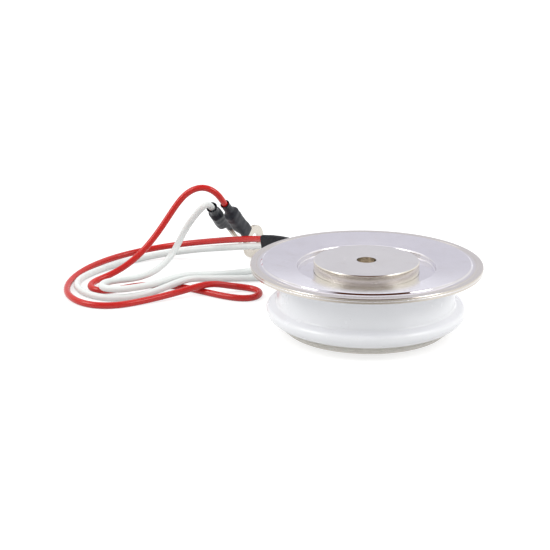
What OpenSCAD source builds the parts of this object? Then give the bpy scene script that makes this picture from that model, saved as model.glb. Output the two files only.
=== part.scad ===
// Press-pack thyristor: a round ceramic capsule with a metal contact on each face,
// a wide welded rim, and a gate lead and an auxiliary cathode lead.
// The axis is Z, the lower contact face is z = 0, and all sizes are in millimetres.

/* [Package] */
// Diameter of the wide rim
flange_d = 41.9; // [40.6:0.1:44]
// Diameter of each contact face
contact_d = 19.05; // [18:0.05:19.6]
// Height from contact face to contact face
height = 13.2; // [12.9:0.1:14.2]
// Diameter of the centring hole in each contact
centring_d = 3.56; // [3:0.02:4]
// Depth of the centring hole in each contact
centring_depth = 1.9; // [1.5:0.1:2.1]
// Chamfer on the edge of each contact face
contact_chamfer = 0.15; // [0.05:0.05:0.3]

/* [Ceramic] */
// Diameter of the ceramic over its bulge
bulge_d = 36.2; // [35.4:0.1:37.2]
// Radius of the bulge's rounding
bulge_round = 2.6; // [2.2:0.1:2.8]
// Height of the middle of the bulge
bulge_z = 4.3; // [4:0.1:4.6]
// Diameter of the neck above the bulge
neck_d = 32.3; // [31.5:0.1:33]
// Wall of the ceramic at its foot
foot_wall = 2; // [1.7:0.1:2.3]
// Bore of the ceramic, which the stack inside follows
ceramic_bore_d = 26.4; // [26:0.1:26.8]
// Rounding of the ceramic's corners
ceramic_round = 0.35; // [0.1:0.05:0.5]

/* [Sheet metal] */
// Thickness of the two upper sheets
sheet_t = 0.43; // [0.35:0.01:0.48]
// Thickness of the lower sheet under the ceramic
anode_sheet_t = 0.35; // [0.25:0.05:0.5]
// How far the lower sheet stays inside the ceramic's foot
anode_sheet_inset = 0.4; // [0.3:0.05:0.7]
// How far the lower contact stands below its sheet
anode_proud = 0.7; // [0.6:0.1:0.9]
// How far the upper contact stands above the rim's top
rim_drop = 0.45; // [0.4:0.05:0.6]
// Width of the flat welded band round the rim
rim_band = 1.8; // [1.4:0.1:2]
// How far the shoulder stands above the flat band
shoulder_rise = 0.33; // [0.2:0.01:0.4]
// Radial width of the rounded shoulder
shoulder_w = 0.5; // [0.4:0.05:0.9]
// How far the dished part falls from shoulder to moat
dish_fall = 0.9; // [0.6:0.05:1]
// Outer diameter of the moat round the upper contact
moat_d = 25; // [24.6:0.1:25.2]
// Depth of the moat below the inner edge of the dish
moat_depth = 1; // [0.8:0.05:1.1]
// Step from the rim down to the ceramic's upper face
brazed_step = 1; // [0.8:0.05:1.1]
// Outer diameter of the lower part of that step
brazed_d = 33; // [32.6:0.1:33.4]
// Width of the coined line on the rim band
coin_line_w = 0.16; // [0.1:0.02:0.3]
// Depth of the coined line on the rim band
coin_line_depth = 0.06; // [0.02:0.01:0.1]

/* [Stack] */
// Gap between the lower pole and the ceramic's bore
lower_pole_gap = 0.5; // [0.3:0.05:0.8]
// Height of the upper pole from its inner face to its contact face
upper_pole_h = 5.95; // [5.8:0.05:6.3]
// How far the upper pole stays inside the molybdenum disc's edge
upper_pole_inset = 0.7; // [0.6:0.05:1.2]
// Thickness of the silver shim
shim_t = 0.1; // [0.05:0.01:0.15]
// Thickness of the lower molybdenum disc
anode_moly_t = 1.4; // [1:0.1:1.5]
// Thickness of the silicon wafer
wafer_t = 0.45; // [0.35:0.05:0.5]
// Thickness of the upper molybdenum disc
cathode_moly_t = 0.5; // [0.4:0.05:0.6]
// How far the upper molybdenum disc stays inside the wafer's edge
cathode_moly_inset = 1; // [0.6:0.05:1.4]
// Wall of the passivation ring
passivation_wall = 0.55; // [0.4:0.05:0.75]
// Height of the passivation ring
passivation_h = 0.65; // [0.55:0.05:0.75]
// Wall of the centring ring
centring_wall = 0.85; // [0.7:0.05:1]
// Gap between the centring ring and the ceramic's bore
centring_gap = 0.1; // [0.05:0.05:0.25]
// Height of the centring ring
centring_ring_h = 3.3; // [2.5:0.1:3.4]

/* [Gate contact] */
// Bore in the upper pole for the gate contact
gate_bore_d = 5; // [4.6:0.1:5.4]
// Metal left between that bore and the centring hole
gate_bore_web = 0.7; // [0.45:0.05:0.75]
// Wall of the gate insulator
insulator_wall = 0.85; // [0.7:0.05:0.95]
// Width of the slot for the gate wire
gate_slot_w = 1.8; // [1.6:0.1:2.2]
// Room above the wire's liner in that slot
gate_slot_room = 0.22; // [0.1:0.02:0.4]
// Diameter of the plunger's tip on the wafer
plunger_tip_d = 1.4; // [1:0.1:1.8]
// Length of the plunger's tip
plunger_tip_h = 0.7; // [0.65:0.05:0.8]
// Height of the plunger's head
plunger_head_h = 1; // [0.9:0.05:1.1]
// Diameter of the boss inside the spring
plunger_boss_d = 0.9; // [0.6:0.1:1]
// Height of the boss inside the spring
plunger_boss_h = 0.7; // [0.5:0.05:0.8]
// Thickness of the spring's wire
spring_wire = 0.28; // [0.2:0.02:0.3]
// Mean diameter of the spring
spring_d = 1.9; // [1.7:0.05:2]
// Number of turns in the spring
spring_turns = 3; // [2:1:4]
// Thickness of the cap over the spring
cap_t = 0.8; // [0.6:0.05:0.9]
// Thickness of the inner gate wire
inner_wire_d = 0.6; // [0.4:0.05:0.64]
// Outer diameter of the liner round that wire
liner_d = 1.3; // [1.1:0.05:1.4]
// Outer diameter of the gate tube
gate_tube_d = 1.4; // [1.2:0.05:1.4]
// Bore of the gate tube
gate_tube_bore = 0.8; // [0.7:0.02:0.9]
// Diameter of the ferrule where the tube meets the ceramic
ferrule_d = 2.5; // [2.1:0.1:2.6]
// Thickness of the ferrule
ferrule_t = 0.5; // [0.3:0.05:0.6]
// Gap between the ferrule and the ceramic's upper face
ferrule_drop = 0.36; // [0.2:0.02:0.5]

/* [Leads] */
// Diameter of the red auxiliary cathode lead
cathode_lead_d = 1.3; // [1.1:0.01:1.3]
// Diameter of the white gate lead
gate_lead_d = 1.35; // [1.1:0.01:1.35]
// Wall of the black sleeve where the leads come out
exit_sleeve_wall = 0.15; // [0.1:0.05:0.3]
// Thickness of the tab for the red lead
tab_t = 0.28; // [0.2:0.02:0.3]
// Width of the tab for the red lead
tab_w = 1.8; // [1.4:0.1:2.2]
// How far the tab hangs below the rim
tab_drop = 1.7; // [1.6:0.05:1.72]

/* [Terminals] */
// Outer diameter of the terminal's ring
ring_d = 7; // [6.4:0.1:7]
// Hole of the terminal's ring
ring_hole_d = 3.7; // [3.3:0.05:4.3]
// Thickness of the terminal's sheet
tongue_t = 0.7; // [0.6:0.05:0.9]
// Width of the terminal's tongue
tongue_w = 2.4; // [2:0.1:2.8]
// Least wall of the crimp barrel
barrel_wall = 0.35; // [0.3:0.05:0.45]
// How much wider than high the crimped barrel is
barrel_spread = 0.4; // [0:0.05:0.6]
// Length of the crimp barrel
barrel_len = 4.8; // [4:0.1:5.4]
// Length of the neck from barrel to flat tongue
neck_len = 1.3; // [0.8:0.1:1.6]
// Distance from the sleeve's mouth to the barrel
barrel_setback = 3.6; // [3:0.1:4]
// Distance from the sleeve's mouth to the ring's centre
terminal_reach = 15; // [14.6:0.1:16]
// Wall of the black sleeve on a terminal
terminal_sleeve_wall = 0.25; // [0.15:0.01:0.3]

/* [Clearances] */
// Side clearance between stacked pieces
side_gap = 0.05; // [0.02:0.01:0.1]
// Clearance round a wire inside a sleeve or liner
wire_gap = 0.08; // [0.06:0.01:0.1]
// Gap between a lead's end and what it is joined to
joint_gap = 0.08; // [0.06:0.01:0.15]
// Clearance of a lead in its crimp barrel
crimp_gap = 0.05; // [0.03:0.01:0.08]

/* [Hidden] */
$fn = 72;
// Finer facets where a small piece follows the ceramic's curve
fine_fn = 288;

// Route of the red lead's middle line, from its tab to its terminal
red_route = [[-10.4, 16.6, 10.7], [-15, 24, 10.1], [-19.3, 30.9, 8.15], [-25.6, 37.8, 5.9],
    [-31.6, 42.6, 4], [-38, 46, 2.3], [-44, 46.2, 1.2], [-50.2, 42.6, 0.7], [-55.2, 35.2, 0.65],
    [-57.9, 26, 0.65], [-57.2, 17.4, 0.65], [-52.6, 11.4, 0.65], [-46.8, 10.8, 0.65],
    [-41.6, 14, 0.65], [-35, 17.9, 1.1], [-29.4, 19.7, 2.5], [-25.9, 21.2, 1.4],
    [-22.9, 22, 0.8], [-20.3, 21.3, 0.65], [-19.1, 18.7, 0.65], [-20.2, 16, 0.65],
    [-23, 15.2, 0.65], [-27.4, 17.3, 0.65], [-34.5, 22.8, 0.65], [-40, 24.2, 0.65],
    [-44.4, 23.2, 0.65], [-48, 20.5, 0.65], [-51.1, 19.9, 0.65], [-53.3, 22.4, 0.7],
    [-52.5, 25.7, 0.9], [-49.4, 27.8, 1.4], [-45, 30.1, 3.6], [-41.2, 32.4, 7.3],
    [-37.8, 33.6, 12.2], [-34.8, 34.3, 16.7], [-31.1, 33.8, 18.4], [-28.3, 34, 17]];
// Route of the white lead's middle line, from its tube to its terminal
white_route = [[-10.4, 16.6, 9.28], [-15, 24, 8.7], [-19.3, 30.9, 6.75], [-25.6, 37.2, 4.4],
    [-32, 41.8, 2.7], [-38.6, 43.8, 1.3], [-44.6, 41.8, 0.7], [-50.8, 36, 0.7],
    [-55.6, 29, 0.7], [-56.1, 23, 0.7], [-53.3, 17.8, 0.7], [-48.8, 15.2, 0.7],
    [-44.6, 15.9, 0.7], [-39.8, 18.7, 0.8], [-33.8, 22.7, 2.6], [-30, 25.6, 1.3],
    [-18.4, 28.2, 0.7], [-14.4, 28.8, 0.7], [-13.1, 31.6, 0.7], [-14.6, 34.4, 0.7],
    [-18.4, 34.6, 0.7], [-24, 31.4, 0.7], [-30.4, 27.8, 1.4], [-34.8, 24.8, 2.6],
    [-39.8, 20, 2.05], [-44.2, 16.9, 2.25], [-46.9, 15.7, 2.35], [-50.1, 16.9, 2.3],
    [-50.4, 20.5, 2.15], [-47.4, 22.6, 2.1], [-44.2, 23.1, 2.2], [-41.6, 25.2, 2.4],
    [-39.6, 29.4, 2.4], [-37, 33.6, 4.2], [-35.2, 36, 8.2], [-32.8, 36.4, 11.5],
    [-30.7, 38.2, 13.5]];

// Mouth of each terminal's sleeve, and its bearing, downward tilt and roll in degrees
red_mouth = [-26.67, 35.48, 14.12];
red_aim = [62, 44.5, 274];
white_mouth = [-29.62, 42.22, 11.62];
white_aim = [75.5, 36.5, 224];
// How far a lead runs straight on each side of its sleeve's mouth
lead_straight = 1;
// Shares of the crimp barrel that the lead fills and that is open for it
lead_in_barrel = 0.6;
barrel_open = 0.85;
// Corner rounding of a terminal's section as a share of its height
section_round = 0.45;
// How far the tongue runs into the ring, and how long the sleeve takes to widen to the barrel
tongue_overlap = 0.5;
sleeve_flare = 0.8;

// Sides of a lead and of a thin inner wire
lead_sides = 8;
wire_sides = 8;
arc_steps = 8;
spring_steps = 14;
spring_sides = 6;

contact_r = contact_d / 2;
centring_r = centring_d / 2;
flange_r = flange_d / 2;
neck_r = neck_d / 2;
bore_r = ceramic_bore_d / 2;
foot_d = ceramic_bore_d + 2 * foot_wall;
anode_sheet_d = foot_d - 2 * anode_sheet_inset;
anode_pole_d = ceramic_bore_d - 2 * lower_pole_gap;
centring_ring_d = ceramic_bore_d - 2 * centring_gap;
moly_d = centring_ring_d - 2 * (centring_wall + side_gap);
wafer_d = moly_d - 2 * (passivation_wall + side_gap);
cathode_pole_d = moly_d - 2 * upper_pole_inset;

// Levels from the lower contact face upwards
anode_sheet_z = anode_proud;
ceramic_bottom = anode_sheet_z + anode_sheet_t;
rim_top = height - rim_drop;
rim_seam = rim_top - sheet_t;
rim_bottom = rim_seam - sheet_t;
ceramic_top = rim_bottom - brazed_step;
hollow_angle = 60;
foot_angle = 57;
hollow_r = (bulge_d / 2 - bulge_round * (1 - cos(hollow_angle)) - neck_d / 2) / (1 - cos(hollow_angle));
hollow_top = bulge_z + (bulge_round + hollow_r) * sin(hollow_angle);
gate_tube_z = ceramic_top - ferrule_drop - ferrule_d / 2;
shoulder_top = rim_top + shoulder_rise;
dish_inner_z = shoulder_top - dish_fall;
moat_z = dish_inner_z - moat_depth;
pole_ledge = moat_z - sheet_t;
cathode_pole_z = height - upper_pole_h;
cathode_moly_z = cathode_pole_z - cathode_moly_t;
wafer_z = cathode_moly_z - wafer_t;
anode_moly_z = wafer_z - anode_moly_t;
shim_z = anode_moly_z - shim_t;
anode_pole_z = shim_z;
gate_bore_depth = upper_pole_h - centring_depth - gate_bore_web;
gate_slot_h = gate_tube_z + liner_d / 2 + gate_slot_room - cathode_pole_z;

shoulder_r = flange_r - rim_band;
crest_r = shoulder_r - shoulder_w;
coin_line_share = 0.6;
coin_line_r = flange_r - rim_band * coin_line_share;
moat_r = moat_d / 2;
brazed_r = brazed_d / 2;
dish_slope = dish_fall / (crest_r - moat_r - sheet_t);
step_clear_r = moat_r + sheet_t + (rim_seam - dish_inner_z + sheet_t) / dish_slope;
step_r = max(brazed_r, step_clear_r);
sheet_bore_r = contact_r + side_gap;
braze_inset = 0.4;
braze_inner_r = max(bore_r, moat_r + sheet_t) + braze_inset;
// Rounding of the moat's lip, small chamfer of the rim's edge, and rounding of the dish's inner edge
moat_lip = 0.3;
rim_chamfer = 0.08;
dish_edge = 0.04;
// How far under the ledge's level the moat's wall starts, as a share of the sheet
moat_root = 0.6;

// The gate side of the housing faces the leads' first point
lead_start = white_route[0];
gate_bearing = atan2(lead_start.y, lead_start.x);
lead_start_r = norm([lead_start.x, lead_start.y]);
tube_end_r = lead_start_r - joint_gap;

insulator_d = gate_bore_d - 2 * side_gap;
plunger_d = insulator_d - 2 * insulator_wall - 2 * side_gap;
plunger_z = cathode_moly_z + plunger_tip_h;
plunger_top = plunger_z + plunger_head_h;
gate_bore_top = cathode_pole_z + gate_bore_depth;
cap_z = gate_bore_top - cap_t;
insulator_z = cathode_moly_z + side_gap;

// Middle line of the inner gate wire, as distance from the axis and height
wire_low_z = plunger_z + plunger_head_h / 2;
wire_level = 1.6;
wire_rise = 4.6;
wire_rise_end = bore_r - wire_level;
wire_rise_start = wire_rise_end - wire_rise;
wire_in_tube = 1;
wire_end_r = tube_end_r - wire_in_tube;
liner_margin = 0.5;
liner_start = gate_bore_d / 2 + liner_margin;
liner_end = bore_r - braze_inset;
// Share of a coil's half thickness that it stays off the plunger and the cap
coil_clear = 0.1;
// How far the tab's foot starts outside the step, and how much further than the sleeve its bore goes
tab_clear = 0.3;
bore_overrun = 0.1;

function unit(v) = v / norm(v);
function outward(r, z) = [r * cos(gate_bearing), r * sin(gate_bearing), z];
function arc(centre, r, from, to) =
    [for (i = [0:arc_steps]) let (a = from + (to - from) * i / arc_steps)
        centre + r * [cos(a), sin(a)]];

// Direction of a middle line at point i
function heading(path, i) =
    unit(path[min(i + 1, len(path) - 1)] - path[max(i - 1, 0)]);

// A flat outline carried to point i of a middle line, with its second axis upwards
function ring_at(path, i, outline) =
    let (t = heading(path, i), side = unit(cross(t, [0, 0, 1])), rise = cross(side, t))
        [for (q = outline) path[i] + q.x * side + q.y * rise];

function round_outline(d, sides) =
    [for (k = [0:sides - 1]) let (a = 360 * (k + 0.5) / sides) d / 2 * [cos(a), sin(a)]];

// Two half circles of diameter d, their centres a height apart
function oblong_outline(d, apart) =
    [for (a = [0:22.5:180]) d / 2 * [cos(a), sin(a)] + [0, apart / 2],
     for (a = [180:22.5:360]) d / 2 * [cos(a), sin(a)] - [0, apart / 2]];

// An outline with rounded corners, which has the same number of points at any size
function rounded_outline(wide, high, r) =
    [for (q = [0:3]) for (a = [7.5:15:82.5])
        [(q == 0 || q == 3 ? 1 : -1) * (wide / 2 - r), (q < 2 ? 1 : -1) * (high / 2 - r)]
            + r * [cos(a + 90 * q), sin(a + 90 * q)]];

// Joins a row of rings of points into one closed solid
module skinned(rings) {
    n = len(rings[0]);
    last = (len(rings) - 1) * n;
    sides = [for (i = [0:len(rings) - 2]) for (k = [0:n - 1])
        let (a = i * n + k, b = i * n + (k + 1) % n)
            each [[a, b + n, a + n], [a, b, b + n]]];
    near_end = [[for (k = [n - 1:-1:0]) k]];
    far_end = [[for (k = [0:n - 1]) last + k]];
    polyhedron(points = [for (ring = rings) each ring], faces = concat(sides, near_end, far_end),
        convexity = 10);
}

// Sweeps an outline along a middle line
module swept(path, outline) {
    skinned([for (i = [0:len(path) - 1]) ring_at(path, i, outline)]);
}

module disc(d, z, h) {
    translate([0, 0, z])
        cylinder(d = d, h = h);
}

// Stands its children out from the axis towards the leads, at height z
module towards_leads(z) {
    translate([0, 0, z])
        rotate([0, 90, gate_bearing])
            children();
}

// Places a terminal drawn along +X, its tongue in the XY plane
module aimed(mouth, aim) {
    translate(mouth)
        rotate([0, 0, aim[0]])
            rotate([0, aim[1], 0])
                rotate([aim[2], 0, 0])
                    children();
}

function aim_direction(aim) =
    [cos(aim[1]) * cos(aim[0]), cos(aim[1]) * sin(aim[0]), -sin(aim[1])];
function with_end(route, mouth, aim) =
    concat(route, [for (x = [-lead_straight, lead_straight, barrel_setback + barrel_len * lead_in_barrel])
        mouth + x * aim_direction(aim)]);

// The insulator's form, grown outwards by g: straight neck above, rounded bulge below
module ceramic_form(g = 0) {
    upper = hollow_angle;
    bulge_c = [bulge_d / 2 - bulge_round, bulge_z];
    hollow_c = [neck_r + hollow_r, hollow_top];
    c = ceramic_round;
    outline = concat(
        [[bore_r, ceramic_bottom + c]],
        arc([bore_r + c, ceramic_bottom + c], c, 180, 270),
        arc([foot_d / 2 - c, ceramic_bottom + c], c + g, 270, 360 - foot_angle),
        arc(bulge_c, bulge_round + g, -foot_angle, upper),
        arc(hollow_c, hollow_r - g, 180 + upper, 180),
        arc([neck_r - c, ceramic_top - c], c + g, 0, 90),
        arc([bore_r + c, ceramic_top - c], c, 90, 180));
    rotate_extrude()
        polygon(outline);
}

// The white glazed insulator, with the hole for the gate tube
module ceramic_housing() {
    color("white")
        difference() {
            ceramic_form();
            towards_leads(gate_tube_z)
                cylinder(d = gate_tube_d + 2 * side_gap, h = flange_r);
        }
}

// The thin sheet brazed under the ceramic and round the lower contact
module anode_flange() {
    color("gainsboro")
        difference() {
            disc(anode_sheet_d, anode_sheet_z, anode_sheet_t);
            disc(2 * sheet_bore_r, anode_sheet_z - 1, anode_sheet_t + 2);
        }
}

// Copper contact below, wider inside the housing, with a centring hole
module anode_pole_piece() {
    c = contact_chamfer;
    outline = [[0, centring_depth], [centring_r, centring_depth], [centring_r, 0],
        [contact_r - c, 0], [contact_r, c], [contact_r, ceramic_bottom],
        [anode_pole_d / 2, ceramic_bottom], [anode_pole_d / 2, anode_pole_z],
        [0, anode_pole_z]];
    color("silver")
        rotate_extrude()
            polygon(outline);
}

// The lower rim sheet: brazed on the ceramic, stepped up to the weld at the rim
module weld_ring() {
    inner = braze_inner_r;
    outline = [[inner, ceramic_top], [step_r + sheet_t, ceramic_top],
        [step_r + sheet_t, rim_bottom], [flange_r, rim_bottom], [flange_r, rim_seam],
        [step_r, rim_seam], [step_r, ceramic_top + sheet_t], [inner, ceramic_top + sheet_t]];
    color("gainsboro")
        rotate_extrude()
            polygon(outline);
}

// The upper sheet: flat band, rounded shoulder, dished ring and moat round the contact
module cathode_flange() {
    t = sheet_t;
    w = coin_line_w / 2;
    s = shoulder_r;
    c = rim_chamfer;
    lip = moat_lip;
    top = concat(
        [[flange_r, rim_seam], [flange_r, rim_top - c], [flange_r - c, rim_top],
         [coin_line_r + w, rim_top], [coin_line_r, rim_top - coin_line_depth],
         [coin_line_r - w, rim_top], [s, rim_top]],
        [for (i = [1:arc_steps]) let (a = 180 * i / arc_steps)
            [s - shoulder_w * i / arc_steps, rim_top + shoulder_rise * (1 - cos(a)) / 2]],
        [[moat_r + lip, dish_inner_z + dish_edge]],
        arc([moat_r + lip, dish_inner_z - lip + dish_edge], lip, 90, 180),
        arc([moat_r - lip, moat_z + lip], lip, 0, -90),
        [[sheet_bore_r, moat_z]]);
    bottom = [[sheet_bore_r, pole_ledge], [moat_r, pole_ledge],
        [moat_r + t, pole_ledge + t * moat_root], [moat_r + t, dish_inner_z - t],
        [crest_r, shoulder_top - t], [s, rim_seam]];
    color("lightsteelblue")
        rotate_extrude()
            polygon(concat(top, bottom));
}

// Copper contact above, with its centring hole, the gate bore and the wire's slot
module cathode_pole_piece() {
    c = contact_chamfer;
    hole_z = height - centring_depth;
    outline = [[0, cathode_pole_z], [cathode_pole_d / 2, cathode_pole_z],
        [cathode_pole_d / 2, pole_ledge], [contact_r, pole_ledge], [contact_r, height - c],
        [contact_r - c, height], [centring_r, height], [centring_r, hole_z], [0, hole_z]];
    color("silver")
        difference() {
            rotate_extrude()
                polygon(outline);
            disc(gate_bore_d, cathode_pole_z - 1, gate_bore_depth + 1);
            rotate([0, 0, gate_bearing])
                translate([0, -gate_slot_w / 2, cathode_pole_z - 1])
                    cube([flange_r, gate_slot_w, gate_slot_h + 1]);
        }
}

// Soft foil between the lower pole and the molybdenum disc
module silver_shim() {
    color("silver")
        disc(moly_d, shim_z, shim_t);
}

// Molybdenum disc that backs the wafer
module anode_moly_disc() {
    color("dimgray")
        disc(moly_d, anode_moly_z, anode_moly_t);
}

// The thyristor element, with a bevelled edge
module silicon_wafer() {
    bevel = wafer_t * 0.6;
    outline = [[0, wafer_z], [wafer_d / 2, wafer_z], [wafer_d / 2 - bevel, wafer_z + wafer_t],
        [0, wafer_z + wafer_t]];
    color("slategray")
        rotate_extrude()
            polygon(outline);
}

// Moulded insulating ring round the wafer's edge
module edge_passivation_ring() {
    inner = wafer_d / 2 + side_gap;
    outer = moly_d / 2;
    c = 0.15;
    outline = [[inner, wafer_z], [outer, wafer_z], [outer, wafer_z + passivation_h - c],
        [outer - c, wafer_z + passivation_h], [inner, wafer_z + passivation_h]];
    color("ivory")
        rotate_extrude()
            polygon(outline);
}

// Thin molybdenum disc over the wafer, open in the middle for the gate
module cathode_moly_disc() {
    color("dimgray")
        difference() {
            disc(wafer_d - 2 * cathode_moly_inset, cathode_moly_z, cathode_moly_t);
            disc(gate_bore_d, cathode_moly_z - 1, cathode_moly_t + 2);
        }
}

// Insulating ring that keeps the stack in the middle of the ceramic
module centering_ring() {
    color("ivory")
        difference() {
            disc(centring_ring_d, anode_pole_z, centring_ring_h);
            disc(moly_d + 2 * side_gap, anode_pole_z - 1, centring_ring_h + 2);
        }
}

// The pin that presses on the middle of the wafer
module gate_plunger() {
    color("gold") {
        disc(plunger_tip_d, cathode_moly_z, plunger_tip_h);
        disc(plunger_d, plunger_z, plunger_head_h);
        disc(plunger_boss_d, plunger_top, plunger_boss_h);
    }
}

// Insulating sleeve in the gate bore, cut open on the wire's side
module gate_insulator() {
    color("ivory")
        difference() {
            disc(insulator_d, insulator_z, cap_z - insulator_z);
            disc(insulator_d - 2 * insulator_wall, insulator_z - 1, gate_bore_depth + 2);
            rotate([0, 0, gate_bearing])
                translate([0, -gate_slot_w / 2, insulator_z - 1])
                    cube([gate_bore_d, gate_slot_w, plunger_top - insulator_z + 1]);
        }
}

// Coil spring between the plunger and the cap
module gate_spring() {
    half = spring_wire / 2;
    low = plunger_top + half * (1 + coil_clear);
    high = cap_z - half * (1 + coil_clear);
    steps = spring_turns * spring_steps;
    coil = [for (i = [0:steps]) let (a = 360 * i / spring_steps)
        [spring_d / 2 * cos(a), spring_d / 2 * sin(a), low + (high - low) * i / steps]];
    color("silver")
        swept(coil, round_outline(spring_wire, spring_sides));
}

// Insulating plug over the spring
module gate_cap() {
    color("ivory")
        disc(insulator_d, cap_z, cap_t);
}

// Silver wire from the plunger to the gate tube
module gate_wire_inner() {
    path = [outward(plunger_d / 2, wire_low_z), outward(wire_rise_start, wire_low_z),
        outward(wire_rise_end, gate_tube_z), outward(wire_end_r, gate_tube_z)];
    color("silver")
        swept(path, round_outline(inner_wire_d, wire_sides));
}

// Insulating tube round the inner gate wire
module gate_wire_liner() {
    path = [outward(liner_start, wire_low_z), outward(wire_rise_start, wire_low_z),
        outward(wire_rise_end, gate_tube_z), outward(liner_end, gate_tube_z)];
    over = [outward(liner_start - 1, wire_low_z), outward(wire_rise_start, wire_low_z),
        outward(wire_rise_end, gate_tube_z), outward(liner_end + 1, gate_tube_z)];
    color("white")
        difference() {
            swept(path, round_outline(liner_d, wire_sides));
            swept(over, round_outline(inner_wire_d + 2 * wire_gap, wire_sides));
        }
}

// Metal tube that carries the gate wire through the ceramic
module gate_tube() {
    color("silver")
        towards_leads(gate_tube_z)
            translate([0, 0, liner_end + wire_gap])
                difference() {
                    cylinder(d = gate_tube_d, h = tube_end_r - liner_end - wire_gap);
                    translate([0, 0, -1])
                        cylinder(d = gate_tube_bore, h = flange_r);
                }
}

// Small collar round the tube, brazed on the outside of the neck
module gate_tube_ferrule() {
    color("silver")
        difference() {
            towards_leads(gate_tube_z)
                translate([0, 0, neck_r - ferrule_t])
                    cylinder(d = ferrule_d, h = 2 * ferrule_t);
            towards_leads(gate_tube_z)
                cylinder(d = gate_tube_d + 2 * side_gap, h = flange_r);
            ceramic_form(side_gap, $fn = fine_fn);
        }
}

// Tab under the rim to which the red lead is joined
module aux_cathode_tab() {
    foot_start = step_r + sheet_t + tab_clear;
    bend = tube_end_r - tab_t;
    side = [[foot_start, rim_bottom], [foot_start, rim_bottom - tab_t], [bend, rim_bottom - tab_t],
        [bend, rim_bottom - tab_drop], [tube_end_r, rim_bottom - tab_drop], [tube_end_r, rim_bottom]];
    color("silver")
        rotate([90, 0, gate_bearing])
            linear_extrude(tab_w, center = true)
                polygon(side);
}

// Black shrunk sleeve over both leads where they leave the housing
module lead_exit_sleeve() {
    middle = [for (i = [0:2]) (red_route[i] + white_route[i]) / 2];
    apart = red_route[1].z - white_route[1].z;
    mouth = gate_lead_d + 2 * wire_gap;
    first = middle[0];
    last = middle[2];
    over = [first + (first - middle[1]) * bore_overrun, middle[1],
        last + (last - middle[1]) * bore_overrun];
    color("darkslategray")
        difference() {
            swept(middle, oblong_outline(mouth + 2 * exit_sleeve_wall, apart));
            swept(over, oblong_outline(mouth, apart));
        }
}

// The white lead
module gate_lead() {
    color("white")
        swept(with_end(white_route, white_mouth, white_aim), round_outline(gate_lead_d, lead_sides));
}

// The red lead
module cathode_lead() {
    color("firebrick")
        swept(with_end(red_route, red_mouth, red_aim), round_outline(cathode_lead_d, lead_sides));
}

function barrel_high(lead_d) = lead_d + 2 * crimp_gap + 2 * barrel_wall;
function sheet_middle(lead_d) = (tongue_t - barrel_high(lead_d)) / 2;

// A rounded section of a terminal at distance x along it, its middle at height z
function section(x, wide, high, z) =
    [for (q = rounded_outline(wide, high, high * section_round)) [x, -q.x, z + q.y]];

// One ring tongue terminal along +X: crimped barrel, neck, flat tongue and ring
module ring_terminal(lead_d) {
    barrel_end = barrel_setback + barrel_len;
    high = barrel_high(lead_d);
    wide = high + barrel_spread;
    sheet = sheet_middle(lead_d);
    color("silver")
        difference() {
            union() {
                skinned([section(barrel_setback, wide, high, 0), section(barrel_end, wide, high, 0),
                    section(barrel_end + neck_len, tongue_w, tongue_t, sheet),
                    section(terminal_reach - ring_d / 2 + tongue_overlap, tongue_w, tongue_t, sheet)]);
                translate([terminal_reach, 0, sheet - tongue_t / 2])
                    cylinder(d = ring_d, h = tongue_t);
            }
            translate([barrel_setback - 1, 0, 0])
                rotate([0, 90, 0])
                    cylinder(d = lead_d + 2 * crimp_gap, h = barrel_len * barrel_open + 1);
            translate([terminal_reach, 0, sheet - tongue_t])
                cylinder(d = ring_hole_d, h = 2 * tongue_t);
        }
}

// Sections of a terminal's sleeve, larger by grow all round and longer by extra at both ends
function sleeve_sections(lead_d, grow, extra) =
    let (room = 2 * (wire_gap + grow), narrow = lead_d + room, high = barrel_high(lead_d) + room,
        wide = high + barrel_spread, flat_w = tongue_w + room, flat_h = tongue_t + room,
        barrel_end = barrel_setback + barrel_len, sheet = sheet_middle(lead_d),
        sleeve_end = terminal_reach - ring_d / 2 - joint_gap)
            [section(-extra, narrow, narrow, 0), section(barrel_setback - sleeve_flare, narrow, narrow, 0),
             section(barrel_setback - wire_gap, wide, high, 0),
             section(barrel_end + wire_gap, wide, high, 0),
             section(barrel_end + neck_len + wire_gap, flat_w, flat_h, sheet),
             section(sleeve_end + extra, flat_w, flat_h, sheet)];

// One black shrunk sleeve along +X: narrow on the lead, wide over the barrel, flat on the tongue
module terminal_sleeve(lead_d) {
    color("darkslategray")
        difference() {
            skinned(sleeve_sections(lead_d, terminal_sleeve_wall, 0));
            skinned(sleeve_sections(lead_d, 0, 1));
        }
}

module gate_ring_terminal() {
    aimed(white_mouth, white_aim)
        ring_terminal(gate_lead_d);
}

module cathode_ring_terminal() {
    aimed(red_mouth, red_aim)
        ring_terminal(cathode_lead_d);
}

module gate_terminal_sleeve() {
    aimed(white_mouth, white_aim)
        terminal_sleeve(gate_lead_d);
}

module cathode_terminal_sleeve() {
    aimed(red_mouth, red_aim)
        terminal_sleeve(cathode_lead_d);
}

ceramic_housing();
anode_flange();
anode_pole_piece();
weld_ring();
cathode_flange();
cathode_pole_piece();
silver_shim();
anode_moly_disc();
silicon_wafer();
edge_passivation_ring();
cathode_moly_disc();
centering_ring();
gate_plunger();
gate_insulator();
gate_spring();
gate_cap();
gate_wire_inner();
gate_wire_liner();
gate_tube();
gate_tube_ferrule();
aux_cathode_tab();
lead_exit_sleeve();
gate_lead();
cathode_lead();
gate_ring_terminal();
cathode_ring_terminal();
gate_terminal_sleeve();
cathode_terminal_sleeve();
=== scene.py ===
import math

import bpy
import bmesh
from mathutils import Matrix, Vector


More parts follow.
